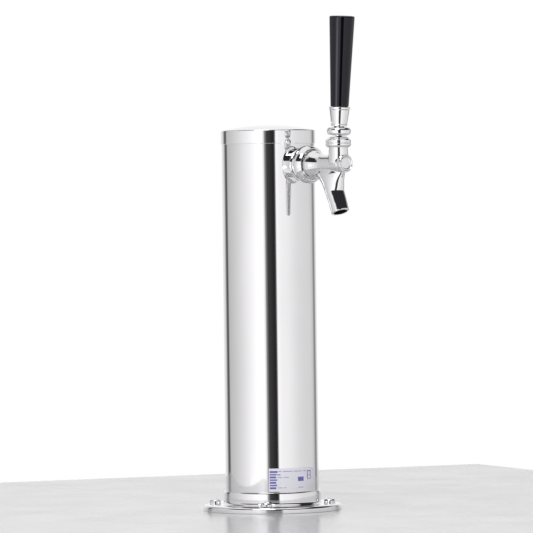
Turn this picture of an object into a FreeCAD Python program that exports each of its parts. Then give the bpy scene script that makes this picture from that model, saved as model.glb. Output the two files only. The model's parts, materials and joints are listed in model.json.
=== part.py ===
"""Beer tap tower: a round column on a bolted flange, with one pull-to-pour tap and its shank.

Millimetres. +Z is up, the origin is on the column's axis at the flange's underside, and the tap
points along -Y. Pieces on the tap's axis are drawn upright about their own Z and then laid along
-Y, so that in their sketches the height is the distance out from the column's axis. The lever and
its handle are drawn upright about the ball's centre and leant forward together.
"""
import FreeCAD, Part
import math
import os
import re
import Sketcher

Vector = FreeCAD.Vector
X_AXIS = Vector(1, 0, 0)
Z_AXIS = Vector(0, 0, 1)

SIZES = {
    # column, cap and lining
    "column_od": 76.2,
    "column_wall": 1.5,
    "column_foot": 3.0,
    "column_top": 308.0,
    "cap_od": 77.4,
    "cap_seam": 298.5,
    "cap_shoulder": 309.6,
    "cap_crown": 314.0,
    "cap_crown_radius": 171.0,
    "cap_round": 0.9,
    "cap_foot_chamfer": 0.2,
    "cap_roof": 308.4,
    "cap_wall": 2.2,
    "cap_plug_foot": 296.6,
    "cap_plug_gap": 0.25,
    "cap_groove_depth": 1.65,
    "cap_groove_width": 2.2,
    "cap_ring_height": 301.5,
    "cap_ring_cord": 1.8,
    "lining_gap": 0.3,
    "lining_foot": 4.0,
    "lining_top": 262.0,
    "lining_bore": 34.0,
    # flange, gasket and screws
    "flange_od": 112.6,
    "flange_rim": 4.8,
    "flange_crown": 7.4,
    "flange_round": 2.0,
    "flange_foot_round": 0.4,
    "flange_bore": 71.0,
    "collar_od": 79.4,
    "collar_top": 16.0,
    "collar_top_round": 0.9,
    "collar_foot_round": 1.6,
    "gasket_od": 106.0,
    "gasket_bore": 74.0,
    "gasket_thickness": 1.5,
    "screw_circle": 94.0,
    "screw_count": 4,
    "screw_od": 5.0,
    "screw_neck_od": 5.3,
    "screw_hole": 5.6,
    "screw_seat": 5.5,
    "screw_seat_od": 10.6,
    "screw_head_od": 9.4,
    "screw_head_height": 3.1,
    "screw_head_round": 1.9,
    "screw_reach": 12.0,
    "screw_cross": 5.0,
    "screw_slot": 1.1,
    "screw_slot_depth": 1.6,
    "screw_turn": 8.0,
    # print panel on the column
    "panel_foot": 16.9,
    "panel_top": 35.6,
    "panel_film": 0.15,
    "panel_turn": 68.0,
    "panel_start": -41.0,
    # shank through the column wall, distances out from the column's axis
    "tap_height": 281.0,
    "shank_od": 19.0,
    "shank_bore": 6.4,
    "shank_tail": 20.0,
    "shank_face": 50.0,
    "shank_collar_od": 21.8,
    "shank_collar_back": 48.3,
    "shank_mouth": 11.6,
    "shank_mouth_depth": 4.0,
    "bezel_od": 27.0,
    "bezel_depth": 4.0,
    "bezel_face": 45.6,
    "bezel_round": 2.4,
    "saddle_od": 25.0,
    "saddle_face": 33.0,
    "lock_nut_flats": 26.0,
    "lock_nut_back": 26.4,
    "coupling_od": 30.8,
    "coupling_back": 46.6,
    "coupling_face": 57.6,
    "coupling_middle": 51.7,
    "coupling_round": 9.0,
    "coupling_back_od": 26.8,
    "coupling_back_round": 0.8,
    "coupling_face_od": 26.6,
    "coupling_lip": 19.6,
    "coupling_mouth": 25.2,
    "coupling_mouth_depth": 0.5,
    "coupling_mouth_slope": 0.9,
    "coupling_seal_bore": 12.4,
    "coupling_seal_od": 23.0,
    "body_back": 51.4,
    # beer inlet elbow behind the shank
    "inlet_seal_bore": 7.0,
    "inlet_seal_back": 18.6,
    "inlet_flange_od": 15.0,
    "inlet_flange_back": 16.2,
    "inlet_flange_face": 18.6,
    "inlet_nut_flats": 23.0,
    "inlet_nut_back": 13.2,
    "inlet_nut_lip": 9.2,
    "inlet_tube_od": 8.6,
    "inlet_tube_bore": 5.6,
    "inlet_bend": 8.0,
    "inlet_leg": 3.0,
    "inlet_mouth": 252.0,
    "barb_od": 9.6,
    "barb_small_od": 8.2,
    "barb_foot": 0.6,
    "barb_length": 2.8,
    "barb_pitch": 4.0,
    "barb_count": 3,
    # tap body, distances out from the column's axis
    "body_thread_od": 23.6,
    "body_thread_end": 57.0,
    "bell_start": 58.2,
    "bell_od": 22.4,
    "bell_end": 71.0,
    "bell_round": 23.66,
    "bell_lip_od": 21.2,
    "bell_lip_round": 1.6,
    "barrel_od": 14.8,
    "barrel_end": 95.6,
    "barrel_bore": 10.0,
    "chamber_bore": 16.4,
    "seat_face": 61.0,
    "boss_od": 14.2,
    "boss_root": 87.6,
    "boss_face": 99.0,
    "boss_round": 0.6,
    "plug_od": 11.0,
    "plug_back": 95.8,
    "plug_round": 0.5,
    "lever_out": 89.4,
    # neck above the barrel, heights above the barrel's axis
    "neck_od": 15.2,
    "neck_top": 17.0,
    "neck_bore": 12.2,
    "neck_ledge": 7.8,
    "neck_throat": 10.4,
    "ball_height": 12.0,
    "ball_od": 11.2,
    "ball_play": 0.05,
    "bonnet_od": 20.6,
    "bonnet_foot": 13.1,
    "bonnet_top": 21.6,
    "bonnet_mouth": 14.2,
    "bonnet_lip": 10.0,
    "bonnet_chamfer": 2.6,
    "bonnet_crown_od": 14.6,
    "bonnet_foot_od": 18.0,
    "bonnet_foot_chamfer": 1.56,
    "seat_ring_top": 10.2,
    "upper_ring_foot": 12.8,
    "upper_ring_top": 14.7,
    # spout, heights below the barrel's axis
    "spout_tilt": 20.7,
    "spout_root_out": 76.3,
    "spout_reach": 41.4,
    "spout_od": 14.4,
    "spout_bore": 11.2,
    # valve shaft
    "shaft_tail": 55.2,
    "shaft_thread_od": 4.0,
    "shaft_shoulder_od": 7.0,
    "shaft_shoulder_end": 63.0,
    "shaft_shoulder_slope": 1.5,
    "shaft_stem_od": 5.0,
    "shaft_guide_back": 84.9,
    "shaft_guide_slope": 1.0,
    "shaft_guide_face": 93.5,
    "shaft_guide_od": 9.9,
    "shaft_socket": 4.6,
    "shaft_socket_depth": 2.6,
    "shaft_slot": 1.9,
    "shaft_slot_floor": 1.2,
    "valve_washer_od": 13.6,
    "valve_washer_back": 58.6,
    "valve_washer_face": 60.95,
    "valve_nut_flats": 7.6,
    "valve_nut_back": 55.7,
    # lever and handle, heights above the ball's centre along the lever
    "lever_lean": 3.5,
    "lever_stem_od": 3.6,
    "lever_tip_od": 4.4,
    "lever_tip_drop": 12.0,
    "lever_neck_od": 5.6,
    "ring_centre": 14.1,
    "ring_section": 6.4,
    "ring_od": 19.4,
    "stud_root_od": 9.8,
    "stud_root_rise": 0.1,
    "stud_root_end": 0.6,
    "stud_od": 8.0,
    "stud_top": 42.0,
    "ferrule_foot": 18.2,
    "ferrule_top": 33.6,
    "ferrule_foot_od": 13.2,
    "ferrule_top_od": 17.0,
    "ferrule_lip": 2.6,
    "ferrule_round": 0.4,
    "insert_od": 10.8,
    "insert_foot": 20.9,
    "insert_top": 45.0,
    "insert_bore": 8.1,
    "insert_chamfer": 0.5,
    "insert_gap": 0.5,
    "grip_foot": 33.7,
    "grip_foot_od": 14.7,
    "grip_top": 106.2,
    "grip_top_od": 20.4,
    "grip_crown": 0.5,
    "grip_crown_radius": 88.0,
    "grip_top_round": 0.9,
    "grip_foot_round": 0.3,
    # lead-in chamfer of every thread
    "thread_lead": 0.8,
    # play between pieces that slip together, and between faces that touch
    "slip": 0.1,
    "contact_gap": 0.02,
}

# The spout's level cuts: (height below the barrel's axis, shift forward from the spout's axis,
# growth of half its length, growth of half its width)
SPOUT_LEVELS = [
    (46.0, 0.0, 0.0, 0.0),
    (31.0, 0.0, 0.3, 0.25),
    (21.0, -0.3, 1.15, 0.5),
    (15.0, -0.2, 3.35, 0.55),
    (11.0, -0.4, 6.25, 0.4),
    (7.5, -0.8, 9.75, -0.1),
    (4.0, -0.6, 12.15, -1.4),
]

doc = FreeCAD.newDocument("BeerTapTower")

# ---------------------------------------------------------------- sizes on the sheet

sheet = doc.addObject("Spreadsheet::Sheet", "Sizes")
for row, (name, value) in enumerate(SIZES.items(), start=1):
    sheet.set(f"A{row}", name)
    sheet.set(f"B{row}", str(value))
    sheet.setAlias(f"B{row}", name)
doc.recompute()

probe = doc.addObject("App::FeaturePython", "Probe")
probe.addProperty("App::PropertyFloat", "Value")


def on_sheet(formula):
    """The formula with each size's name pointing at its cell."""
    def cell(word):
        return f"Sizes.{word.group()}" if word.group() in SIZES else word.group()

    return re.sub(r"[a-z_]+", cell, formula)


def number(formula):
    """The formula's present value."""
    probe.setExpression("Value", on_sheet(formula))
    probe.recompute()
    return probe.Value


def bind(thing, **formulas):
    """Tie the thing's properties to formulas of the sheet's sizes."""
    for name, formula in formulas.items():
        thing.setExpression(name, on_sheet(formula))


def place(thing, out="0", height="0", turn=None):
    """Put a piece at a distance out along -Y and a height, turned by (axis, degrees)."""
    if turn:
        thing.Placement = FreeCAD.Placement(Vector(), FreeCAD.Rotation(*turn))
    thing.setExpression("Placement.Base.y", on_sheet(f"0 - ({out})"))
    thing.setExpression("Placement.Base.z", on_sheet(height))
    return thing


def along_tap(thing):
    """Lay a piece drawn upright along the tap's axis, pointing out of the column."""
    return place(thing, height="tap_height", turn=(X_AXIS, 90))


def on_lever(thing):
    """Set a piece drawn about the ball's centre on the lever, which leans forward."""
    lean = SIZES["lever_lean"]
    return place(thing, "lever_out", "tap_height + ball_height", turn=(X_AXIS, lean))


# ---------------------------------------------------------------- sketches and features


def origin_plane(body, role):
    """One of the body's own origin planes."""
    return next(o for o in body.Origin.OriginFeatures if o.Role == role)


def new_sketch(body, plane, height=None):
    """An empty sketch on one of the body's planes, raised by a height if one is given."""
    sketch = body.newObject("Sketcher::SketchObject", f"{body.Name}_sketch")
    sketch.AttachmentSupport = (origin_plane(body, plane), [""])
    sketch.MapMode = "FlatFace"
    if height:
        sketch.setExpression("AttachmentOffset.Base.z", on_sheet(height))
    return sketch


def fix(sketch, edge, point, across, up):
    """Hold a point of an edge at two formulas from the sketch's origin."""
    for kind, formula in (("DistanceX", across), ("DistanceY", up)):
        rule = Sketcher.Constraint(kind, -1, 1, edge, point, number(formula))
        index = sketch.addConstraint(rule)
        sketch.setExpression(f"Constraints[{index}]", on_sheet(formula))


def arc_between(start, end, radius):
    """The short arc from start to end: it bulges to the right of the way for a positive radius."""
    middle = (start + end) * 0.5
    half = (end - start) * 0.5
    left = Vector(-half.y, half.x, 0).normalize()
    rise = math.sqrt(radius ** 2 - half.Length ** 2)
    centre = middle + left * math.copysign(rise, radius)
    first, last = (start, end) if radius > 0 else (end, start)
    angles = [math.atan2(p.y - centre.y, p.x - centre.x) for p in (first, last)]
    if angles[1] < angles[0]:
        angles[1] += 2 * math.pi
    return Part.ArcOfCircle(Part.Circle(centre, Z_AXIS, abs(radius)), *angles)


def outline(body, plane, corners, height=None):
    """A closed outline. A corner is (across, up), or (across, up, radius) after an arc."""
    sketch = new_sketch(body, plane, height)
    points = [Vector(number(corner[0]), number(corner[1]), 0) for corner in corners]
    ends = []
    for index, corner in enumerate(corners):
        start, end = points[index - 1], points[index]
        if len(corner) == 3:
            radius = number(corner[2])
            sketch.addGeometry(arc_between(start, end, radius), False)
            ends.append((1, 2) if radius > 0 else (2, 1))
        else:
            sketch.addGeometry(Part.LineSegment(start, end), False)
            ends.append((1, 2))
    for index, corner in enumerate(corners):
        following = (index + 1) % len(corners)
        joint = (index, ends[index][1], following, ends[following][0])
        sketch.addConstraint(Sketcher.Constraint("Coincident", *joint))
        fix(sketch, index, ends[index][1], corner[0], corner[1])
        if len(corner) == 3:
            rule = Sketcher.Constraint("Radius", index, abs(number(corner[2])))
            radius_index = sketch.addConstraint(rule)
            sketch.setExpression(f"Constraints[{radius_index}]", on_sheet(f"abs({corner[2]})"))
    return sketch


def ring_sketch(body, plane, across, up, radius, height=None):
    """A sketch of one circle."""
    sketch = new_sketch(body, plane, height)
    centre = Vector(number(across), number(up), 0)
    sketch.addGeometry(Part.Circle(centre, Z_AXIS, number(radius)), False)
    fix(sketch, 0, 3, across, up)
    index = sketch.addConstraint(Sketcher.Constraint("Radius", 0, number(radius)))
    sketch.setExpression(f"Constraints[{index}]", on_sheet(radius))
    return sketch


def turned(name, corners, angle="360", sketch=None):
    """A body made by turning an outline of (radius, height) corners about its own Z."""
    body = doc.addObject("PartDesign::Body", name)
    profile = outline(body, "XZ_Plane", corners) if sketch is None else sketch(body)
    turning = body.newObject("PartDesign::Revolution", f"{name}_turning")
    turning.Profile = profile
    turning.ReferenceAxis = (profile, ["V_Axis"])
    bind(turning, Angle=angle)
    return body


def hexagon(name, flats, foot, top):
    """A hexagonal prism about its own Z between two heights."""
    body = doc.addObject("PartDesign::Body", name)
    radius = f"({flats}) / sqrt(3)"
    corners = [(f"{radius} * cos({60 * k})", f"{radius} * sin({60 * k})") for k in range(6)]
    pad = body.newObject("PartDesign::Pad", f"{name}_pad")
    pad.Profile = outline(body, "XY_Plane", corners, foot)
    bind(pad, Length=f"({top}) - ({foot})")
    return body


def cut_through(body, sketch, length=None, reverse=False):
    """Pocket a sketch out of the body, and stop if it takes nothing away."""
    doc.recompute()
    before = body.Shape.Volume
    pocket = body.newObject("PartDesign::Pocket", f"{body.Name}_pocket")
    pocket.Profile = sketch
    pocket.Reversed = reverse
    if length is None:
        pocket.Type = 1
    else:
        bind(pocket, Length=length)
    doc.recompute()
    if body.Shape.Volume > before - 1e-3:
        raise RuntimeError(f"{pocket.Name} cuts nothing")
    return pocket


def edges_at(shape, circles):
    """Names of the round edges about the body's Z with the given (radius, height) values."""
    names = []
    for index, edge in enumerate(shape.Edges, start=1):
        curve = None if edge.Degenerated else edge.Curve
        if not isinstance(curve, Part.Circle) or abs(curve.Axis.z) < 0.99:
            continue
        if math.hypot(curve.Center.x, curve.Center.y) > 1e-4:
            continue
        if any(abs(curve.Radius - r) + abs(curve.Center.z - z) < 1e-3 for r, z in circles):
            names.append(f"Edge{index}")
    if len(names) < len(circles):
        raise RuntimeError(f"edges missing: {circles}")
    return names


def ease(body, circles, size, kind="Fillet"):
    """Fillet or chamfer the body's round edges at (radius, height) formulas."""
    doc.recompute()
    base = body.Tip
    wanted = [(number(radius), number(height)) for radius, height in circles]
    feature = body.newObject(f"PartDesign::{kind}", f"{body.Name}_{kind.lower()}")
    feature.Base = (base, edges_at(base.Shape, wanted))
    bind(feature, **{"Radius" if kind == "Fillet" else "Size": size})
    return feature


def cylinder(name, radius, height, foot="0"):
    """A Part cylinder about Z, starting at a foot height."""
    solid = doc.addObject("Part::Cylinder", name)
    bind(solid, Radius=radius, Height=height)
    solid.setExpression("Placement.Base.z", on_sheet(foot))
    return solid


def tap_cylinder(name, radius, back, face):
    """A cylinder on the tap's axis between two distances out from the column's axis."""
    solid = doc.addObject("Part::Cylinder", name)
    bind(solid, Radius=radius, Height=f"({face}) - ({back})")
    return place(solid, back, "tap_height", turn=(X_AXIS, 90))


def boolean(kind, name, base, tool):
    """A Part cut or common of two objects."""
    result = doc.addObject(f"Part::{kind}", name)
    result.Base = base
    result.Tool = tool
    return result


def fused(name, *solids):
    """A Part fusion of several objects."""
    result = doc.addObject("Part::MultiFuse", name)
    result.Shapes = list(solids)
    return result


def tube(name, outer, inner, foot, top):
    """A plain ring or tube about its own Z."""
    return turned(name, [(inner, foot), (outer, foot), (outer, top), (inner, top)])


pieces = {}


def keep(node, thing):
    """Note a finished sub-part under its node's name."""
    thing.Label = node
    pieces[node] = thing


# ---------------------------------------------------------------- column and foot


def make_column():
    body = tube("Column", "column_od / 2", "column_od / 2 - column_wall",
                "column_foot", "column_top")
    hole = ring_sketch(body, "XZ_Plane", "0", "tap_height", "shank_od / 2 + slip")
    cut_through(body, hole, "column_od", reverse=True)
    keep("column", body)


def make_base_flange():
    body = turned("Flange", [
        ("flange_bore / 2", "0"),
        ("gasket_bore / 2 - slip", "0"),
        ("gasket_bore / 2 - slip", "gasket_thickness"),
        ("gasket_od / 2 + slip", "gasket_thickness"),
        ("gasket_od / 2 + slip", "0"),
        ("flange_od / 2", "0"),
        ("flange_od / 2", "flange_rim"),
        ("collar_od / 2", "flange_crown"),
        ("collar_od / 2", "collar_top"),
        ("column_od / 2 + slip / 2", "collar_top"),
        ("column_od / 2 + slip / 2", "column_foot"),
        ("flange_bore / 2", "column_foot"),
    ])
    ease(body, [("flange_od / 2", "flange_rim")], "flange_round")
    ease(body, [("collar_od / 2", "flange_crown")], "collar_foot_round")
    ease(body, [("collar_od / 2", "collar_top")], "collar_top_round")
    ease(body, [("flange_od / 2", "0")], "flange_foot_round")
    screw_holes(body, ("screw_hole / 2", "0"), ("screw_seat_od / 2", "screw_seat"))
    keep("base_flange", body)


def screw_holes(body, *holes):
    """Cut (radius, foot) holes upwards at each screw, on a circle about the body's Z."""
    offset = "screw_circle / 2 * sqrt(0.5)"
    pockets = []
    for radius, foot in holes:
        sketch = ring_sketch(body, "XY_Plane", offset, offset, radius, foot)
        pockets.append(cut_through(body, sketch, reverse=True))
    pattern = body.newObject("PartDesign::PolarPattern", f"{body.Name}_pattern")
    pattern.Originals = pockets
    pattern.Axis = ([o for o in body.Origin.OriginFeatures if o.Role == "Z_Axis"][0], [""])
    pattern.Angle = 360
    bind(pattern, Occurrences="screw_count")
    body.Tip = pattern


def make_base_gasket():
    body = tube("Gasket", "gasket_od / 2", "gasket_bore / 2", "0", "gasket_thickness")
    screw_holes(body, ("screw_hole / 2", "0"))
    keep("base_gasket", body)


def make_mounting_screws():
    """Four pan-head screws with a cross recess, in one group."""
    cross, slot = "screw_cross / 2", "screw_slot / 2"
    arms = [(cross, slot), (slot, slot), (slot, cross)]
    recess = []
    for side_x, side_y in ((1, 1), (-1, 1), (-1, -1), (1, -1)):
        quarter = [(f"{side_x} * {a}", f"{side_y} * {b}") for a, b in arms]
        recess += quarter if side_x == side_y else quarter[::-1]
    screws = []
    for index in range(SIZES["screw_count"]):
        body = turned(f"Screw{index + 1}", [
            ("0", "0 - screw_reach"),
            ("screw_od / 2 - thread_lead", "0 - screw_reach"),
            ("screw_od / 2", "thread_lead - screw_reach"),
            ("screw_od / 2", "0"),
            ("screw_neck_od / 2", "0"),
            ("screw_neck_od / 2", "screw_seat"),
            ("screw_head_od / 2", "screw_seat"),
            ("screw_head_od / 2", "screw_seat + screw_head_height - screw_head_round"),
            ("screw_head_od / 2 - screw_head_round", "screw_seat + screw_head_height",
             "screw_head_round * 1.0001"),
            ("0", "screw_seat + screw_head_height"),
        ])
        top = outline(body, "XY_Plane", recess, "screw_seat + screw_head_height")
        cut_through(body, top, "screw_slot_depth")
        angle = 45 + index * 360 / SIZES["screw_count"]
        turn = FreeCAD.Rotation(Z_AXIS, SIZES["screw_turn"] * index)
        body.Placement = FreeCAD.Placement(Vector(), turn)
        for axis, function in (("x", "cos"), ("y", "sin")):
            formula = on_sheet(f"screw_circle / 2 * {function}({angle})")
            body.setExpression(f"Placement.Base.{axis}", formula)
        screws.append(body)
    group = doc.addObject("Part::Compound", "Screws")
    group.Links = screws
    keep("mounting_screws", group)


def make_insulation_sleeve():
    body = tube("Lining", "column_od / 2 - column_wall - lining_gap", "lining_bore / 2",
                "lining_foot", "lining_top")
    keep("insulation_sleeve", body)


def make_print_panel():
    """A clear film with a printed panel, wrapped on the column above the collar."""
    face = "column_od / 2"
    body = turned("Panel", [
        (face, "panel_foot"),
        (f"{face} + panel_film", "panel_foot"),
        (f"{face} + panel_film", "panel_top"),
        (face, "panel_top"),
    ], angle="panel_turn")
    start = SIZES["panel_start"] - 90
    place(body, turn=(Z_AXIS, start))
    keep("print_panel", body)


# ---------------------------------------------------------------- cap


def make_top_cap():
    """A plated cap: a skirt over the column's rim and a plug with a ring groove inside it."""
    skirt = "column_od / 2 + slip"
    plug = "column_od / 2 - column_wall - cap_plug_gap"
    inside = f"({plug} - cap_wall)"
    sag = f"cap_crown_radius - sqrt(cap_crown_radius ^ 2 - {inside} ^ 2)"
    floor = f"{plug} - cap_groove_depth"
    low = "cap_ring_height - cap_groove_width / 2"
    high = "cap_ring_height + cap_groove_width / 2"
    body = turned("Cap", [
        ("0", "cap_crown - cap_wall"),
        (inside, f"cap_crown - cap_wall - ({sag})", "0 - cap_crown_radius"),
        (inside, "cap_plug_foot"),
        (plug, "cap_plug_foot"),
        (plug, low),
        (floor, low),
        (floor, high),
        (plug, high),
        (plug, "cap_roof"),
        (skirt, "cap_roof"),
        (skirt, "cap_seam"),
        ("cap_od / 2", "cap_seam"),
        ("cap_od / 2", "cap_shoulder"),
        ("0", "cap_crown", "cap_crown_radius"),
    ])
    ease(body, [("cap_od / 2", "cap_shoulder")], "cap_round")
    ease(body, [("cap_od / 2", "cap_seam")], "cap_foot_chamfer", kind="Chamfer")
    keep("top_cap", body)


def make_cap_ring():
    """The rubber ring that grips the column's bore."""
    centre = "column_od / 2 - column_wall - slip / 2 - cap_ring_cord / 2"

    def section(body):
        return ring_sketch(body, "XZ_Plane", centre, "cap_ring_height", "cap_ring_cord / 2")

    keep("cap_ring", turned("CapRing", None, sketch=section))


# ---------------------------------------------------------------- shank and coupling


def make_shank():
    body = turned("Shank", [
        ("shank_bore / 2", "shank_tail"),
        ("shank_od / 2 - thread_lead", "shank_tail"),
        ("shank_od / 2", "shank_tail + thread_lead"),
        ("shank_od / 2", "shank_collar_back"),
        ("shank_collar_od / 2", "shank_collar_back"),
        ("shank_collar_od / 2", "shank_face"),
        ("shank_mouth / 2", "shank_face"),
        ("shank_bore / 2", "shank_face - shank_mouth_depth"),
    ])
    keep("shank", along_tap(body))


def make_shank_bezel():
    """The round flange outside the column, hollowed behind to sit on the curve."""
    disc = turned("BezelDisc", [
        ("shank_od / 2 + slip", "column_od / 2 - bezel_depth"),
        ("bezel_od / 2", "column_od / 2 - bezel_depth"),
        ("bezel_od / 2", "bezel_face"),
        ("shank_od / 2 + slip", "bezel_face"),
    ])
    ease(disc, [("bezel_od / 2", "bezel_face")], "bezel_round")
    column = cylinder("BezelColumn", "column_od / 2 + contact_gap", "column_top")
    keep("shank_bezel", boolean("Cut", "Bezel", along_tap(disc), column))


def make_shank_saddle():
    """The washer inside the column, rounded to fit its bore."""
    disc = along_tap(tube("SaddleDisc", "saddle_od / 2", "shank_od / 2 + slip",
                          "saddle_face", "column_od / 2"))
    bore = cylinder("SaddleBore", "column_od / 2 - column_wall - contact_gap", "column_top")
    keep("shank_saddle", boolean("Common", "Saddle", disc, bore))


def make_lock_nut():
    body = hexagon("LockNut", "lock_nut_flats", "lock_nut_back", "saddle_face - contact_gap")
    cut_through(body, ring_sketch(body, "XY_Plane", "0", "0", "shank_od / 2 + slip / 2"),
                reverse=True)
    keep("shank_lock_nut", along_tap(body))


def make_coupling_nut():
    """The rounded ring nut that draws the tap onto the shank's collar."""
    body = turned("Coupling", [
        ("coupling_lip / 2", "coupling_back"),
        ("coupling_back_od / 2", "coupling_back"),
        ("coupling_od / 2", "coupling_middle", "coupling_round"),
        ("coupling_face_od / 2", "coupling_face", "coupling_round"),
        ("coupling_mouth / 2", "coupling_face"),
        ("coupling_mouth / 2", "coupling_face - coupling_mouth_depth"),
        ("body_thread_od / 2 + slip / 2", "coupling_face - coupling_mouth_slope"),
        ("body_thread_od / 2 + slip / 2", "shank_collar_back - slip / 2"),
        ("coupling_lip / 2", "shank_collar_back - slip / 2"),
    ])
    ease(body, [("coupling_back_od / 2", "coupling_back")], "coupling_back_round")
    keep("coupling_nut", along_tap(body))


def make_coupling_seal():
    body = tube("CouplingSeal", "coupling_seal_od / 2", "coupling_seal_bore / 2",
                "shank_face", "body_back")
    keep("coupling_seal", along_tap(body))


# ---------------------------------------------------------------- beer inlet


def make_inlet_seal():
    body = tube("InletSeal", "inlet_flange_od / 2", "inlet_seal_bore / 2",
                "inlet_seal_back", "shank_tail")
    keep("inlet_seal", along_tap(body))


def make_inlet_nut():
    body = hexagon("InletNut", "inlet_nut_flats", "inlet_nut_back", "lock_nut_back - lining_gap")
    cut_through(body, ring_sketch(body, "XY_Plane", "0", "0", "inlet_nut_lip / 2"), reverse=True)
    wide = ring_sketch(body, "XY_Plane", "0", "0", "shank_od / 2 + slip / 2",
                       "inlet_flange_back - contact_gap")
    cut_through(body, wide, reverse=True)
    keep("inlet_nut", along_tap(body))


def make_inlet_elbow():
    """A flanged tube that turns down inside the column and ends in a hose barb."""
    body = doc.addObject("PartDesign::Body", "Elbow")
    path = new_sketch(body, "YZ_Plane")
    bend_out, bend_low = "inlet_leg + inlet_bend", "tap_height - inlet_bend"
    corners = [("inlet_flange_face", "tap_height"), (bend_out, "tap_height"),
               ("inlet_leg", bend_low), ("inlet_leg", "inlet_mouth")]
    points = [Vector(-number(out), number(height), 0) for out, height in corners]
    path.addGeometry(Part.LineSegment(points[0], points[1]), False)
    centre = Vector(points[1].x, points[2].y, 0)
    bend = Part.Circle(centre, Z_AXIS, number("inlet_bend"))
    path.addGeometry(Part.ArcOfCircle(bend, 0, math.pi / 2), False)
    path.addGeometry(Part.LineSegment(points[2], points[3]), False)
    path.addConstraint(Sketcher.Constraint("Coincident", 0, 2, 1, 2))
    path.addConstraint(Sketcher.Constraint("Coincident", 1, 1, 2, 1))
    ends = [(0, 1), (0, 2), (2, 1), (2, 2)]
    for (edge, point), (out, height) in zip(ends, corners):
        fix(path, edge, point, f"0 - ({out})", height)
    size = path.addConstraint(Sketcher.Constraint("Radius", 1, number("inlet_bend")))
    path.setExpression(f"Constraints[{size}]", on_sheet("inlet_bend"))
    mouth = ring_sketch(body, "XY_Plane", "0", "0 - inlet_leg", "inlet_tube_od / 2", "inlet_mouth")
    pipe = body.newObject("PartDesign::AdditivePipe", "Elbow_pipe")
    pipe.Profile = mouth
    pipe.Spine = (path, ["Edge1", "Edge2", "Edge3"])
    doc.recompute()
    bore = ring_sketch(body, "XY_Plane", "0", "0 - inlet_leg", "inlet_tube_bore / 2",
                       "inlet_mouth")
    hollow = body.newObject("PartDesign::SubtractivePipe", "Elbow_bore")
    hollow.Profile = bore
    hollow.Spine = (path, ["Edge1", "Edge2", "Edge3"])
    rim = tap_cylinder("ElbowRim", "inlet_flange_od / 2 - lining_gap", "inlet_flange_back",
                       "inlet_flange_face")
    rim_bore = tap_cylinder("ElbowRimBore", "inlet_tube_bore / 2", "inlet_leg",
                            "inlet_flange_face + inlet_leg")
    barbs = [make_barb(index) for index in range(SIZES["barb_count"])]
    flange = boolean("Cut", "ElbowFlange", rim, rim_bore)
    keep("inlet_elbow", fused("InletElbow", body, flange, *barbs))


def make_barb(index):
    """One ridge of the hose barb, sharp side up."""
    foot = f"inlet_mouth + barb_foot + {index} * barb_pitch"
    ridge = turned(f"Barb{index + 1}", [
        ("inlet_tube_bore / 2", foot),
        ("barb_small_od / 2", foot),
        ("barb_od / 2", f"{foot} + barb_length"),
        ("inlet_tube_bore / 2", f"{foot} + barb_length"),
    ])
    return place(ridge, "inlet_leg")


# ---------------------------------------------------------------- tap body


def spout_section(height, shift, longer, wider):
    """One level cut of the spout's outside, an ellipse about the spout's sloping axis."""
    ring = doc.addObject("Part::Ellipse", f"SpoutCut{int(height)}")
    bind(ring, MajorRadius=f"spout_od / 2 / cos(spout_tilt) + {longer}",
         MinorRadius=f"spout_od / 2 + {wider}")
    middle = f"spout_root_out + {height} * tan(spout_tilt) + {shift}"
    return place(ring, middle, f"tap_height - {height}", turn=(Z_AXIS, 90))


def spout_solid():
    """The spout's outside, a round tube that widens backwards into the barrel's underside."""
    loft = doc.addObject("Part::Loft", "SpoutLoft")
    loft.Sections = [spout_section(*level) for level in SPOUT_LEVELS]
    loft.Solid = True
    end = doc.addObject("Part::Cylinder", "SpoutEnd")
    bind(end, Radius="spout_od * 2", Height="spout_reach")
    tilted_down(end, "spout_reach")
    return boolean("Cut", "SpoutOutside", loft, end)


def tilted_down(solid, distance):
    """Aim a solid's own Z down the spout's axis, starting at a distance from its root."""
    turn = FreeCAD.Rotation(X_AXIS, 180 - SIZES["spout_tilt"])
    solid.Placement = FreeCAD.Placement(Vector(), turn)
    out = f"spout_root_out + ({distance}) * sin(spout_tilt)"
    height = f"tap_height - ({distance}) * cos(spout_tilt)"
    return place(solid, out, height)


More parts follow.
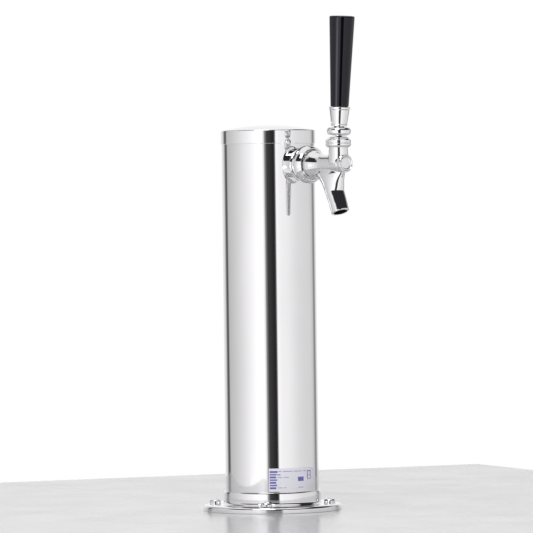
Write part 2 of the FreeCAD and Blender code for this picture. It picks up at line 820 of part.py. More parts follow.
def make_tap_body():
    """The cast body: bell and barrel, front boss, neck for the lever and spout, bored out."""
    barrel = along_tap(turned("Barrel", [
        ("0", "body_back"),
        ("body_thread_od / 2", "body_back"),
        ("body_thread_od / 2", "body_thread_end"),
        ("bell_lip_od / 2", "body_thread_end"),
        ("bell_od / 2", "bell_start", "0 - bell_lip_round"),
        ("barrel_od / 2", "bell_end", "0 - bell_round"),
        ("barrel_od / 2", "barrel_end"),
        ("0", "barrel_end"),
    ]))
    boss = along_tap(turned("Boss", [
        ("0", "boss_root"),
        ("boss_od / 2", "boss_root"),
        ("boss_od / 2", "boss_face - boss_round"),
        ("boss_od / 2 - boss_round", "boss_face", "boss_round * 1.0001"),
        ("0", "boss_face"),
    ]))
    neck = place(turned("Neck", [
        ("0", "0"),
        ("neck_od / 2", "0"),
        ("neck_od / 2", "neck_top"),
        ("0", "neck_top"),
    ]), "lever_out", "tap_height")
    solid = fused("TapOutside", barrel, boss, neck, spout_solid())
    chamber = tap_cylinder("Chamber", "chamber_bore / 2", "coupling_back", "seat_face")
    passage = tap_cylinder("Passage", "barrel_bore / 2", "coupling_back", "plug_back")
    pocket = tap_cylinder("PlugPocket", "plug_od / 2 + slip / 2", "plug_back", "boss_face + slip")
    cup = cylinder("NeckCup", "neck_bore / 2", "neck_top")
    place(cup, "lever_out", "tap_height + neck_ledge")
    throat = cylinder("NeckThroat", "neck_throat / 2", "neck_top")
    place(throat, "lever_out", "tap_height")
    outlet = doc.addObject("Part::Cylinder", "Outlet")
    bind(outlet, Radius="spout_bore / 2", Height="spout_reach * 1.2")
    tilted_down(outlet, "0")
    hollows = fused("TapHollows", chamber, passage, pocket, cup, throat, outlet)
    keep("tap_body", boolean("Cut", "TapBody", solid, hollows))


def make_front_plug():
    """The disc that closes the barrel in front."""
    body = turned("Plug", [
        ("0", "plug_back"),
        ("plug_od / 2", "plug_back"),
        ("plug_od / 2", "boss_face - plug_round"),
        ("plug_od / 2 - plug_round", "boss_face", "plug_round * 1.0001"),
        ("0", "boss_face"),
    ])
    keep("front_plug", along_tap(body))


def cupped_ring(name, foot, top):
    """A ring in the neck's bore whose inside fits the ball."""
    cup = "(ball_od / 2 + ball_play)"
    foot_radius = f"sqrt({cup} ^ 2 - (ball_height - {foot}) ^ 2)"
    top_radius = f"sqrt({cup} ^ 2 - (ball_height - {top}) ^ 2)"
    body = turned(name, [
        (foot_radius, foot, f"0 - {cup}"),
        ("neck_bore / 2 - slip / 2", foot),
        ("neck_bore / 2 - slip / 2", top),
        (top_radius, top),
    ])
    return place(body, "lever_out", "tap_height")


def make_ball_rings():
    """The seat under the ball and the friction ring that the bonnet presses on it."""
    keep("ball_seat_ring", cupped_ring("SeatRing", "neck_ledge", "seat_ring_top"))
    keep("friction_ring", cupped_ring("FrictionRing", "upper_ring_foot", "upper_ring_top"))


def make_bonnet():
    """The cap nut on the neck, with a flared mouth for the lever."""
    body = turned("Bonnet", [
        ("neck_od / 2 + slip / 2", "bonnet_foot"),
        ("bonnet_foot_od / 2", "bonnet_foot"),
        ("bonnet_od / 2", "bonnet_foot + bonnet_foot_chamfer"),
        ("bonnet_od / 2", "bonnet_top - bonnet_chamfer"),
        ("bonnet_crown_od / 2", "bonnet_top"),
        ("bonnet_mouth / 2", "bonnet_top"),
        ("bonnet_lip / 2", "upper_ring_top + slip / 2"),
        ("neck_bore / 2 - slip / 2", "upper_ring_top + slip / 2"),
        ("neck_bore / 2 - slip / 2", "neck_top + slip / 2"),
        ("neck_od / 2 + slip / 2", "neck_top + slip / 2"),
    ])
    keep("bonnet", place(body, "lever_out", "tap_height"))


# ---------------------------------------------------------------- valve


def make_valve_shaft():
    """The sliding stem: thread for the washer, and a guide that the lever's tip moves."""
    body = turned("Shaft", [
        ("0", "shaft_tail"),
        ("shaft_thread_od / 2", "shaft_tail"),
        ("shaft_thread_od / 2", "valve_washer_face"),
        ("shaft_shoulder_od / 2", "valve_washer_face"),
        ("shaft_shoulder_od / 2", "shaft_shoulder_end"),
        ("shaft_stem_od / 2", "shaft_shoulder_end + shaft_shoulder_slope"),
        ("shaft_stem_od / 2", "shaft_guide_back - shaft_guide_slope"),
        ("shaft_guide_od / 2", "shaft_guide_back"),
        ("shaft_guide_od / 2", "shaft_guide_face"),
        ("0", "shaft_guide_face"),
    ])
    along_tap(body)
    tip_out = "lever_out - lever_tip_drop * sin(lever_lean)"
    socket = cylinder("Socket", "shaft_socket / 2", "shaft_guide_od")
    place(socket, tip_out, "tap_height - shaft_socket_depth")
    slot_end = cylinder("SlotEnd", "shaft_socket / 2", "shaft_guide_od")
    place(slot_end, f"{tip_out} + shaft_slot", "tap_height + shaft_slot_floor")
    slot = doc.addObject("Part::Box", "Slot")
    bind(slot, Length="shaft_socket", Width="shaft_slot", Height="shaft_guide_od")
    slot.setExpression("Placement.Base.x", on_sheet("0 - shaft_socket / 2"))
    place(slot, f"{tip_out} + shaft_slot", "tap_height + shaft_slot_floor")
    hollow = fused("ShaftHollow", socket, slot_end, slot)
    keep("valve_shaft", boolean("Cut", "ValveShaft", body, hollow))


def make_valve_washer():
    body = tube("ValveWasher", "valve_washer_od / 2", "shaft_thread_od / 2 + slip / 2",
                "valve_washer_back", "valve_washer_face")
    keep("valve_washer", along_tap(body))


def make_valve_nut():
    body = hexagon("ValveNut", "valve_nut_flats", "valve_nut_back", "valve_washer_back - contact_gap")
    cut_through(body, ring_sketch(body, "XY_Plane", "0", "0", "shaft_thread_od / 2 + slip / 2"),
                reverse=True)
    keep("valve_nut", along_tap(body))


# ---------------------------------------------------------------- lever and handle


def make_lever():
    """Ball lever: tip, stem, ball, neck, rounded ring and the handle's stud, turned in one."""
    ball, tip = "ball_od / 2", "lever_tip_od / 2"
    stem, neck = "lever_stem_od / 2", "lever_neck_od / 2"
    ring = "ring_section / 2"
    body = turned("Lever", [
        ("0", f"0 - lever_tip_drop - {tip}"),
        (tip, "0 - lever_tip_drop", f"{tip} * 1.0001"),
        (stem, f"sqrt(({tip}) ^ 2 - ({stem}) ^ 2) - lever_tip_drop", f"{tip} * 1.0001"),
        (stem, f"0 - sqrt(({ball}) ^ 2 - ({stem}) ^ 2)"),
        (ball, "0", f"{ball} * 1.0001"),
        (neck, f"sqrt(({ball}) ^ 2 - ({neck}) ^ 2)", f"{ball} * 1.0001"),
        (neck, "ring_centre - stud_root_end"),
        ("ring_od / 2 - ring_section", "ring_centre"),
        (f"ring_od / 2 - {ring}", f"ring_centre - {ring}", f"{ring} * 1.0001"),
        ("ring_od / 2", "ring_centre", f"{ring} * 1.0001"),
        (f"ring_od / 2 - {ring}", f"ring_centre + {ring}", f"{ring} * 1.0001"),
        ("stud_root_od / 2", f"ring_centre + {ring} + stud_root_rise"),
        ("stud_od / 2", f"ring_centre + {ring} + stud_root_end"),
        ("stud_od / 2", "stud_top - thread_lead"),
        ("stud_od / 2 - thread_lead", "stud_top"),
        ("0", "stud_top"),
    ])
    keep("lever", on_lever(body))


def make_handle_ferrule():
    body = turned("Ferrule", [
        ("stud_od / 2 + slip", "ferrule_foot"),
        ("ferrule_foot_od / 2", "ferrule_foot"),
        ("ferrule_top_od / 2", "ferrule_top"),
        ("insert_od / 2 + slip / 2", "ferrule_top"),
        ("insert_od / 2 + slip / 2", "ferrule_foot + ferrule_lip"),
        ("stud_od / 2 + slip", "ferrule_foot + ferrule_lip"),
    ])
    ease(body, [("ferrule_foot_od / 2", "ferrule_foot"), ("ferrule_top_od / 2", "ferrule_top")],
         "ferrule_round")
    keep("handle_ferrule", on_lever(body))


def make_handle_insert():
    body = tube("Insert", "insert_od / 2", "insert_bore / 2", "insert_foot", "insert_top")
    ease(body, [("insert_od / 2", "insert_top"), ("insert_od / 2", "insert_foot")],
         "insert_chamfer", kind="Chamfer")
    keep("handle_insert", on_lever(body))


def make_handle_grip():
    body = turned("Grip", [
        ("0", "insert_top + insert_gap"),
        ("insert_od / 2 + slip / 2", "insert_top + insert_gap"),
        ("insert_od / 2 + slip / 2", "grip_foot"),
        ("grip_foot_od / 2", "grip_foot"),
        ("grip_top_od / 2", "grip_top"),
        ("0", "grip_top + grip_crown", "grip_crown_radius"),
    ])
    ease(body, [("grip_top_od / 2", "grip_top")], "grip_top_round")
    ease(body, [("grip_foot_od / 2", "grip_foot")], "grip_foot_round")
    keep("handle_grip", on_lever(body))


# ---------------------------------------------------------------- build, check and write


def check_document():
    """Stop if any object failed or any sub-part's shape is missing or broken."""
    for thing in doc.Objects:
        if {"Invalid", "Error"} & set(thing.State):
            raise RuntimeError(f"{thing.Name} ({thing.Label}) failed: {thing.State}")
    for node, thing in pieces.items():
        if thing.Shape.isNull() or not thing.Shape.isValid():
            raise RuntimeError(f"{node} has no valid shape")


def write_pieces():
    """Write each sub-part to its own STEP file."""
    os.makedirs("parts", exist_ok=True)
    for node, thing in pieces.items():
        thing.Shape.exportStep(f"parts/{node}.step")
        print(f"{node:20s} {len(thing.Shape.Solids)} solid(s) {thing.Shape.Volume:10.1f} mm3")


MAKERS = [
    make_column, make_base_flange, make_base_gasket, make_mounting_screws,
    make_insulation_sleeve, make_print_panel, make_top_cap, make_cap_ring,
    make_shank, make_shank_bezel, make_shank_saddle, make_lock_nut,
    make_coupling_nut, make_coupling_seal, make_inlet_seal, make_inlet_nut, make_inlet_elbow,
    make_tap_body, make_front_plug, make_ball_rings, make_bonnet,
    make_valve_shaft, make_valve_washer, make_valve_nut,
    make_lever, make_handle_ferrule, make_handle_insert, make_handle_grip,
]
for maker in MAKERS:
    maker()
doc.removeObject("Probe")
doc.recompute()
check_document()
write_pieces()
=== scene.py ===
"""Looks of a single beer tap tower: mirror-polished column on a bolted flange, push-fit cap,
chrome ball-lever tap with a black tapered handle, and the beer line's fittings inside."""
import json
import math

import bmesh
import bpy
from mathutils import Matrix, Vector


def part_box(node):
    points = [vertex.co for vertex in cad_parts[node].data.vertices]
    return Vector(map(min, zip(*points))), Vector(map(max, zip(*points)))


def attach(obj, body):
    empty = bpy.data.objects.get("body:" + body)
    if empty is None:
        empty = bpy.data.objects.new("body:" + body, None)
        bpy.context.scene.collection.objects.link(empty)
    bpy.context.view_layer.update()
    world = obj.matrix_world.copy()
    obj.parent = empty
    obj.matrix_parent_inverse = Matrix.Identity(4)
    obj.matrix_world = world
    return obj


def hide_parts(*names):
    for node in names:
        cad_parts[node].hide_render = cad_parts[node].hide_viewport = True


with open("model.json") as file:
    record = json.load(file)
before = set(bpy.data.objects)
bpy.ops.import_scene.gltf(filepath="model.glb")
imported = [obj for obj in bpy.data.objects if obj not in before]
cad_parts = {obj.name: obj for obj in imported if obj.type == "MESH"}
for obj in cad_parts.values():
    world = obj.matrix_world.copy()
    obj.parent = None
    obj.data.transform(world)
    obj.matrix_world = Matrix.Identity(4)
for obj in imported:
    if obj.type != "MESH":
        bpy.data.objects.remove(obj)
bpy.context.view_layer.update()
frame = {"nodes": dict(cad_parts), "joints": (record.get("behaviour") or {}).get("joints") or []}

MM = 0.001
SIDES = 128
FINE_SIDES = 96

# where the tower's parts are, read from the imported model
column_low, column_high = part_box("column")
cap_low, cap_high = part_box("top_cap")
flange_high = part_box("base_flange")[1]
nut_low, nut_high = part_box("coupling_nut")
body_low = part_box("tap_body")[0]
BALL = Vector(next(j["pos_m"] for j in frame["joints"] if j["name"] == "lever_pull"))
TAP_HEIGHT = (nut_low.z + nut_high.z) / 2
LEVER_LEAN = math.radians(3.5)
ALONG_TAP = Matrix.Translation((0, 0, TAP_HEIGHT)) @ Matrix.Rotation(math.radians(90), 4, "X")
ON_NECK = Matrix.Translation((BALL.x, BALL.y, TAP_HEIGHT))
ON_LEVER = Matrix.Translation(BALL) @ Matrix.Rotation(LEVER_LEAN, 4, "X")


# ---------------------------------------------------------------- modelling by hand


def mm(value):
    return value / MM


def deselect():
    if bpy.context.object and bpy.context.object.mode != "OBJECT":
        bpy.ops.object.mode_set(mode="OBJECT")
    bpy.ops.object.select_all(action="DESELECT")


def work_on(piece):
    deselect()
    piece.select_set(True)
    bpy.context.view_layer.objects.active = piece


def pick(piece, test):
    """In edit mode, select only the vertices that pass the test."""
    bpy.ops.mesh.select_mode(type="VERT")
    bpy.ops.mesh.select_all(action="DESELECT")
    mesh = bmesh.from_edit_mesh(piece.data)
    for vertex in mesh.verts:
        vertex.select = test(vertex)
    mesh.select_flush_mode()
    bmesh.update_edit_mesh(piece.data)


def arc(across, up, radius, start, end, steps=6):
    """Profile points on a circle about (across, up), angles in degrees from outwards to up."""
    angles = [math.radians(start + (end - start) * i / steps) for i in range(steps + 1)]
    return [(across + radius * math.cos(a), up + radius * math.sin(a)) for a in angles]


def turned(name, profile, sides=SIDES):
    """A lathe piece about Z from (radius, height) in mm: a circle drawn from ring to ring.

    A radius of 0 at either end closes there in a pole; a profile that ends where it starts
    closes on itself."""
    deselect()
    rings = [(r * MM, z * MM) for r, z in profile]
    first_pole = rings.pop(0) if rings[0][0] == 0 else None
    last_pole = rings.pop() if rings[-1][0] == 0 else None
    radius, height = rings[0]
    bpy.ops.mesh.primitive_circle_add(vertices=sides, radius=radius, location=(0, 0, 0))
    piece = bpy.context.object
    piece.name = piece.data.name = name
    bpy.ops.object.mode_set(mode="EDIT")
    bpy.ops.mesh.select_all(action="SELECT")
    bpy.ops.transform.translate(value=(0, 0, height))
    for new_radius, new_height in rings[1:]:
        bpy.ops.mesh.extrude_region_move(
            TRANSFORM_OT_translate={"value": (0, 0, new_height - height)})
        size = new_radius / radius
        bpy.ops.transform.resize(value=(size, size, 1), center_override=(0, 0, new_height))
        radius, height = new_radius, new_height
    if last_pole:
        bpy.ops.mesh.extrude_region_move(
            TRANSFORM_OT_translate={"value": (0, 0, last_pole[1] - height)})
        bpy.ops.mesh.merge(type="CENTER")
    if first_pole:
        radius, height = rings[0]
        pick(piece, lambda v: v.index < sides)
        bpy.ops.mesh.extrude_region_move(
            TRANSFORM_OT_translate={"value": (0, 0, first_pole[1] - height)})
        bpy.ops.mesh.merge(type="CENTER")
    bpy.ops.mesh.select_all(action="SELECT")
    bpy.ops.mesh.remove_doubles(threshold=MM / 1000)
    bpy.ops.mesh.normals_make_consistent(inside=False)
    bpy.ops.object.mode_set(mode="OBJECT")
    return piece


def apply_modifier(piece, kind, **settings):
    work_on(piece)
    modifier = piece.modifiers.new(kind.title(), kind)
    for setting, value in settings.items():
        setattr(modifier, setting, value)
    bpy.ops.object.modifier_apply(modifier=modifier.name)


def rounded(piece, width, segments=3, angle=28):
    """Ease every edge sharper than the angle with a small round."""
    apply_modifier(piece, "BEVEL", width=width * MM, segments=segments, limit_method="ANGLE",
                   angle_limit=math.radians(angle), miter_outer="MITER_ARC")


def smooth(piece, angle=32):
    """Shade smooth, keep the corners, and let the large faces set the normals."""
    work_on(piece)
    bpy.ops.object.shade_smooth_by_angle(angle=math.radians(angle))
    apply_modifier(piece, "WEIGHTED_NORMAL", keep_sharp=True)


def cut_away(piece, cutter, solver):
    """Take the cutter's shape out of the piece, and the cutter out of the scene."""
    apply_modifier(piece, "BOOLEAN", object=cutter, operation="DIFFERENCE", solver=solver)
    bpy.data.objects.remove(cutter)


def laid(piece, where):
    """Bake the piece's place into its mesh."""
    piece.data.transform(where)
    piece.data.update()
    return piece


def join(pieces, name):
    work_on(pieces[0])
    for piece in pieces[1:]:
        piece.select_set(True)
    bpy.ops.object.join()
    whole = bpy.context.object
    whole.name = whole.data.name = name
    return whole


def finish_piece(piece, material, body, slot, *nodes):
    """Give the piece its finish and its body, and hide the nodes that it stands for."""
    if not piece.data.materials:
        piece.data.materials.append(material)
    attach(piece, body)
    if nodes:
        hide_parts(*nodes)
    return piece


# ---------------------------------------------------------------- finishes


NOISE, MAPPING, RANGE = "ShaderNodeTexNoise", "ShaderNodeMapping", "ShaderNodeMapRange"
BUMP, MIX, MATH = "ShaderNodeBump", "ShaderNodeMix", "ShaderNodeMath"
COLOURS = {"data_type": "RGBA"}


def linear(colour):
    """An sRGB hex colour as linear RGBA."""
    parts = [int(colour[i:i + 2], 16) / 255 for i in (1, 3, 5)]
    return tuple(c / 12.92 if c <= 0.04045 else ((c + 0.055) / 1.055) ** 2.4
                 for c in parts) + (1.0,)


def connect(tree, socket, value):
    """Link a node's result or an output to the socket, or set the socket to a value."""
    if isinstance(value, bpy.types.Node):
        outputs = value.outputs
        value = outputs["Fac"] if "Fac" in outputs else next(o for o in outputs if o.enabled)
    if isinstance(value, bpy.types.NodeSocket):
        tree.links.new(value, socket)
    else:
        socket.default_value = value


def add_node(tree, kind, settings, inputs):
    """Add a node with its settings, and set or link its inputs."""
    node = tree.nodes.new(kind)
    for name, value in settings.items():
        setattr(node, name, value)
    for name, value in inputs.items():
        connect(tree, node.inputs[name], value)
    return node


class Finish:
    """A node material on one Principled shader, patterned on the object's coordinates."""

    def __init__(self, name, colour, **sockets):
        self.material = bpy.data.materials.new(name)
        self.material.use_nodes = True
        self.tree = self.material.node_tree
        self.shader = self.tree.nodes["Principled BSDF"]
        self.shader.inputs["Base Color"].default_value = linear(colour)
        for socket, value in sockets.items():
            self.shader.inputs[socket.replace("_", " ")].default_value = value
        self.place = self.add("ShaderNodeTexCoord").outputs["Object"]

    def add(self, kind, settings=None, **inputs):
        """Add a node; each input is a value or a node, and _ in its name is a blank."""
        named = {name.replace("_", " "): value for name, value in inputs.items()}
        return add_node(self.tree, kind, settings or {}, named)

    def feed(self, **sockets):
        """Drive the shader's sockets by nodes, and hand back the material."""
        for name, node in sockets.items():
            connect(self.tree, self.shader.inputs[name.replace("_", " ")], node)
        return self.material


# Noise scales are grains per metre, so 1000 is a millimetre; a Mapping's scale stretches them.
# Bump distances are metres.


def mirror_polished_stainless():
    """304 tube buffed to a mirror: fine polishing lines up the tube, 1.1 mm apart across it,
    and a few soft smears blur its reflections a little along one way."""
    steel = Finish("mirror_polished_stainless", "#DEDFE1", Metallic=1.0, Roughness=0.05)
    along = steel.add(MAPPING, Scale=(900, 900, 6), Vector=steel.place)
    lines = steel.add(NOISE, Scale=1.0, Detail=3.0, Roughness=0.6, Vector=along)
    tall = steel.add(MAPPING, Scale=(1, 1, 0.4), Vector=steel.place)
    smears = steel.add(NOISE, Scale=28.0, Detail=2.0, Roughness=0.6, Vector=tall)
    blur = add_node(steel.tree, MATH, {"operation": "MULTIPLY"}, {0: lines, 1: smears})
    taller = steel.add(MAPPING, Scale=(1, 1, 0.15), Vector=steel.place)
    waves = steel.add(NOISE, Scale=16.0, Detail=1.0, Roughness=0.6, Vector=taller)
    soft = steel.add(BUMP, Strength=0.6, Distance=0.02 * MM, Height=waves)
    return steel.feed(
        Roughness=steel.add(RANGE, Value=blur, From_Min=0.1, From_Max=0.45, To_Min=0.025,
                            To_Max=0.075),
        Base_Color=steel.add(MIX, COLOURS, Factor=smears, A=linear("#EDECED"),
                             B=linear("#E2E1E2")),
        Normal=steel.add(BUMP, Strength=0.5, Distance=0.0012 * MM, Height=lines, Normal=soft))


def buffed_stainless_flange():
    """Pressed stainless flange, buffed in circles: a mirror with rings and rub marks."""
    steel = Finish("buffed_stainless_flange", "#EAE9EA", Metallic=1.0, Roughness=0.08)
    rings = steel.add("ShaderNodeTexWave", {"wave_type": "RINGS", "rings_direction": "Z"},
                      Scale=900.0, Distortion=6.0, Detail=3.0, Vector=steel.place)
    rubs = steel.add(NOISE, Scale=90.0, Detail=5.0, Roughness=0.6, Vector=steel.place)
    return steel.feed(
        Roughness=steel.add(RANGE, Value=rubs, From_Min=0.3, From_Max=0.7, To_Min=0.02,
                            To_Max=0.07),
        Normal=steel.add(BUMP, Strength=0.3, Distance=0.001 * MM, Height=rings))


def bright_chrome_plate():
    """Chrome over polished brass castings: very bright, slightly wavy where buffed."""
    chrome = Finish("bright_chrome_plate", "#E8E8E9", Metallic=1.0, Roughness=0.04)
    buffing = chrome.add(NOISE, Scale=260.0, Detail=2.0, Roughness=0.6, Vector=chrome.place)
    haze = chrome.add(NOISE, Scale=75.0, Detail=5.0, Roughness=0.6, Vector=chrome.place)
    return chrome.feed(
        Roughness=chrome.add(RANGE, Value=haze, From_Min=0.3, From_Max=0.7, To_Min=0.02,
                             To_Max=0.075),
        Normal=chrome.add(BUMP, Strength=0.5, Distance=0.014 * MM, Height=buffing))


def satin_stainless():
    """Machined stainless: satin, with fine turning lines that catch the light."""
    steel = Finish("satin_stainless", "#B9BBBE", Metallic=1.0, Roughness=0.3)
    along = steel.add(MAPPING, Scale=(1, 0.1, 1), Vector=steel.place)
    turning = steel.add(NOISE, Scale=1400.0, Detail=2.0, Roughness=0.6, Vector=along)
    stain = steel.add(NOISE, Scale=120.0, Detail=4.0, Roughness=0.6, Vector=steel.place)
    return steel.feed(
        Roughness=steel.add(RANGE, Value=stain, From_Min=0.3, From_Max=0.7, To_Min=0.22,
                            To_Max=0.4),
        Base_Color=steel.add(MIX, COLOURS, Factor=stain, A=linear("#C6C8CA"),
                             B=linear("#A7A9AC")),
        Normal=steel.add(BUMP, Strength=0.5, Distance=0.01 * MM, Height=turning))


def machined_brass():
    """Turned brass: warm yellow, with faint darker tarnish."""
    brass = Finish("machined_brass", "#C9A24B", Metallic=1.0, Roughness=0.25)
    tarnish = brass.add(NOISE, Scale=180.0, Detail=5.0, Roughness=0.6, Vector=brass.place)
    turning = brass.add(NOISE, Scale=1500.0, Detail=2.0, Roughness=0.6, Vector=brass.place)
    return brass.feed(
        Base_Color=brass.add(MIX, COLOURS, Factor=tarnish, A=linear("#D3AE5A"),
                             B=linear("#A98236")),
        Roughness=brass.add(RANGE, Value=tarnish, From_Min=0.3, From_Max=0.7, To_Min=0.18,
                            To_Max=0.38),
        Normal=brass.add(BUMP, Strength=0.5, Distance=0.008 * MM, Height=turning))


def glossy_phenolic():
    """Moulded phenolic handle: near black, deep gloss, hairline handling scratches."""
    black = Finish("glossy_black_phenolic", "#050507", Roughness=0.1, IOR=1.43,
                   Specular_Tint=linear("#F1EFFF"))
    tall = black.add(MAPPING, Scale=(1, 1, 0.3), Vector=black.place)
    ripple = black.add(NOISE, Scale=60.0, Detail=1.0, Roughness=0.6, Vector=tall)
    along = black.add(MAPPING, Scale=(2600, 2600, 160), Vector=black.place)
    scratches = black.add(NOISE, Scale=1.0, Detail=6.0, Roughness=0.6, Vector=along)
    return black.feed(
        Base_Color=black.add(MIX, COLOURS, Factor=ripple, A=linear("#030305"),
                             B=linear("#08080D")),
        Roughness=black.add(RANGE, Value=scratches, From_Min=0.4, From_Max=0.75, To_Min=0.05,
                            To_Max=0.14),
        Normal=black.add(BUMP, Strength=0.5, Distance=0.03 * MM, Height=ripple))


def nitrile_rubber():
    """Moulded nitrile rubber: soft black, matt, dusty on its rounds."""
    rubber = Finish("nitrile_rubber", "#17171A", Roughness=0.75)
    grain = rubber.add(NOISE, Scale=2200.0, Detail=3.0, Roughness=0.6, Vector=rubber.place)
    dust = rubber.add(NOISE, Scale=150.0, Detail=5.0, Roughness=0.6, Vector=rubber.place)
    return rubber.feed(
        Base_Color=rubber.add(MIX, COLOURS, Factor=dust, A=linear("#141416"),
                              B=linear("#2A2A2C")),
        Roughness=rubber.add(RANGE, Value=dust, From_Min=0.3, From_Max=0.7, To_Min=0.65,
                             To_Max=0.9),
        Normal=rubber.add(BUMP, Strength=0.6, Distance=0.02 * MM, Height=grain))


def white_acetal():
    """Turned acetal rings: milky white with a slight sheen."""
    acetal = Finish("white_acetal", "#E9E8E2", Roughness=0.4, Subsurface_Weight=0.1)
    mottle = acetal.add(NOISE, Scale=400.0, Detail=3.0, Roughness=0.6, Vector=acetal.place)
    return acetal.feed(
        Base_Color=acetal.add(MIX, COLOURS, Factor=mottle, A=linear("#EFEEE9"),
                              B=linear("#DEDCD3")),
        Roughness=acetal.add(RANGE, Value=mottle, From_Min=0.3, From_Max=0.7, To_Min=0.32,
                             To_Max=0.5),
        Normal=acetal.add(BUMP, Strength=0.4, Distance=0.01 * MM, Height=mottle))


def closed_cell_foam():
    """Nitrile foam lining: charcoal, with a fine pricked cell surface."""
    foam = Finish("closed_cell_foam", "#3A3B3D", Roughness=0.95)
    cells = foam.add("ShaderNodeTexVoronoi", Scale=900.0, Vector=foam.place)
    patch = foam.add(NOISE, Scale=60.0, Detail=4.0, Roughness=0.6, Vector=foam.place)
    return foam.feed(
        Base_Color=foam.add(MIX, COLOURS, Factor=patch, A=linear("#333436"),
                            B=linear("#46474A")),
        Normal=foam.add(BUMP, Strength=0.8, Distance=0.3 * MM, Height=cells))


def milky_film():
    """Milky polyester label film: covers the steel with a cool white, and is glossy."""
    film = Finish("milky_polyester_film", "#F3F2FA", Roughness=0.18, Alpha=0.86, IOR=1.5)
    haze = film.add(NOISE, Scale=300.0, Detail=4.0, Roughness=0.6, Vector=film.place)
    return film.feed(Roughness=film.add(RANGE, Value=haze, From_Min=0.3, From_Max=0.7,
                                        To_Min=0.12, To_Max=0.3))


def violet_ink():
    """Screen-printed violet ink: flat, slightly uneven where the film shows through."""
    ink = Finish("violet_screen_ink", "#5553B2", Roughness=0.5, IOR=1.5)
    worn = ink.add(NOISE, Scale=1500.0, Detail=3.0, Roughness=0.6, Vector=ink.place)
    return ink.feed(
        Base_Color=ink.add(MIX, COLOURS, Factor=worn, A=linear("#4F4DAE"),
                           B=linear("#7C7AC8")),
        Alpha=ink.add(RANGE, Value=worn, From_Min=0.35, From_Max=0.75, To_Min=0.95,
                      To_Max=0.45))


def painted_shade_bore():
    """The spout's bore: dull, near-black metal that hardly reflects; the near-black is painted
    shade for the dark inside of the bore.
    """
    bore = Finish("bore_painted_shade", "#1B1B1D", Metallic=0.6, Roughness=0.45)
    scale = bore.add(NOISE, Scale=400.0, Detail=5.0, Roughness=0.6, Vector=bore.place)
    return bore.feed(
        Roughness=bore.add(RANGE, Value=scale, From_Min=0.3, From_Max=0.7, To_Min=0.35,
                           To_Max=0.6),
        Normal=bore.add(BUMP, Strength=0.5, Distance=0.03 * MM, Height=scale))


steel = mirror_polished_stainless()
flange_steel = buffed_stainless_flange()
chrome = bright_chrome_plate()
satin = satin_stainless()
brass = machined_brass()
phenolic = glossy_phenolic()
rubber = nitrile_rubber()
acetal = white_acetal()
foam = closed_cell_foam()
film = milky_film()
ink = violet_ink()
# the bore finish is painted shade: near-black for the darkness inside the spout's bore
bore = painted_shade_bore()


# ---------------------------------------------------------------- column, flange and cap


def make_column():
    """The tube, with small rolled edges and the bore inside."""
    outside, wall = mm(column_high.x), 1.5
    foot, top = mm(column_low.z), mm(column_high.z)
    inside = outside - wall
    levels = 24
    outer = [(outside, foot + (top - foot) * i / levels) for i in range(levels + 1)]
    piece = turned("column_tube", outer + [(inside, top), (inside, foot), (outside, foot)],
                   sides=192)
    rounded(piece, 0.25)
    smooth(piece)
    return finish_piece(piece, steel, "tower", "polished_steel", "column")


def make_flange():
    """Pressed flange: flat plate with a rounded rim, coved up into the collar."""
    rim, collar = mm(flange_high.x), 39.7
    top, seat, plate, cove = mm(flange_high.z), 5.45, 4.8, 2.4
    bore, seat_bore, ledge = 38.15, 35.5, 3
    recess_in, recess_out, recess = 36.9, 53.1, 1.5
    profile = [(seat_bore, 0), (recess_in, 0), (recess_in, recess), (recess_out, recess),
               (recess_out, 0), (rim - 0.4, 0)]
    profile += arc(rim - 0.4, 0.4, 0.4, -90, 0, 3)
    profile += arc(rim - 2.0, plate - 2.0, 2.0, 0, 84, 6)
    profile += [(53.2, 5.08), (51.9, seat - 0.05)]
    profile += arc(collar + cove, seat + cove, cove, 268, 180, 8)
    profile += [(collar, top - 1.8), (collar - 0.36, top - 0.6)]
    profile += arc(collar - 0.96, top - 0.6, 0.6, 17, 90, 5)
    profile += [(bore, top), (bore, ledge), (seat_bore, ledge), (seat_bore, 0)]
    piece = turned("base_flange_plate", profile, sides=160)
    rounded(piece, 0.12, segments=2, angle=50)
    smooth(piece)
    return finish_piece(piece, flange_steel, "tower", "polished_steel", "base_flange")


def make_cap():
    """Pressed cap: low dome, rounded shoulder, skirt over the tube and a plug inside."""
    outside, crown = mm(cap_high.x), mm(cap_high.z)
    seam, shoulder, plug, roof = 298.5, 309.6, 36.35, 308.4
    foot = mm(cap_low.z)
    wall, tube, groove = 2.2, 38.2, plug - 1.65
    groove_foot, groove_top = 300.4, 302.6
    inner = plug - wall
    dome_radius = (outside ** 2 + (crown - shoulder) ** 2) / 2 / (crown - shoulder)
    edge, levels = outside - 0.9, 20
    radii = [edge - edge * i / levels for i in range(levels)]
    dome = [(r, crown - dome_radius + math.sqrt(dome_radius ** 2 - r ** 2)) for r in radii]
    profile = [(0, crown - wall), (inner, crown - 6.0), (inner, foot), (plug, foot)]
    profile += [(plug, groove_foot), (groove, groove_foot), (groove, groove_top)]
    profile += [(plug, groove_top), (plug, roof), (tube, roof), (tube, seam)]
    profile += [(outside - 0.2, seam)]
    profile += [(outside, seam + 0.2)]
    profile += arc(edge, dome[0][1] - 0.9, 0.9, 0, 78, 6)
    profile += dome[1:] + [(0, crown)]
    piece = turned("top_cap_pressing", profile, sides=160)
    smooth(piece, 40)
    return finish_piece(piece, chrome, "cap", "chrome_plate", "top_cap")


# ---------------------------------------------------------------- shank and coupling


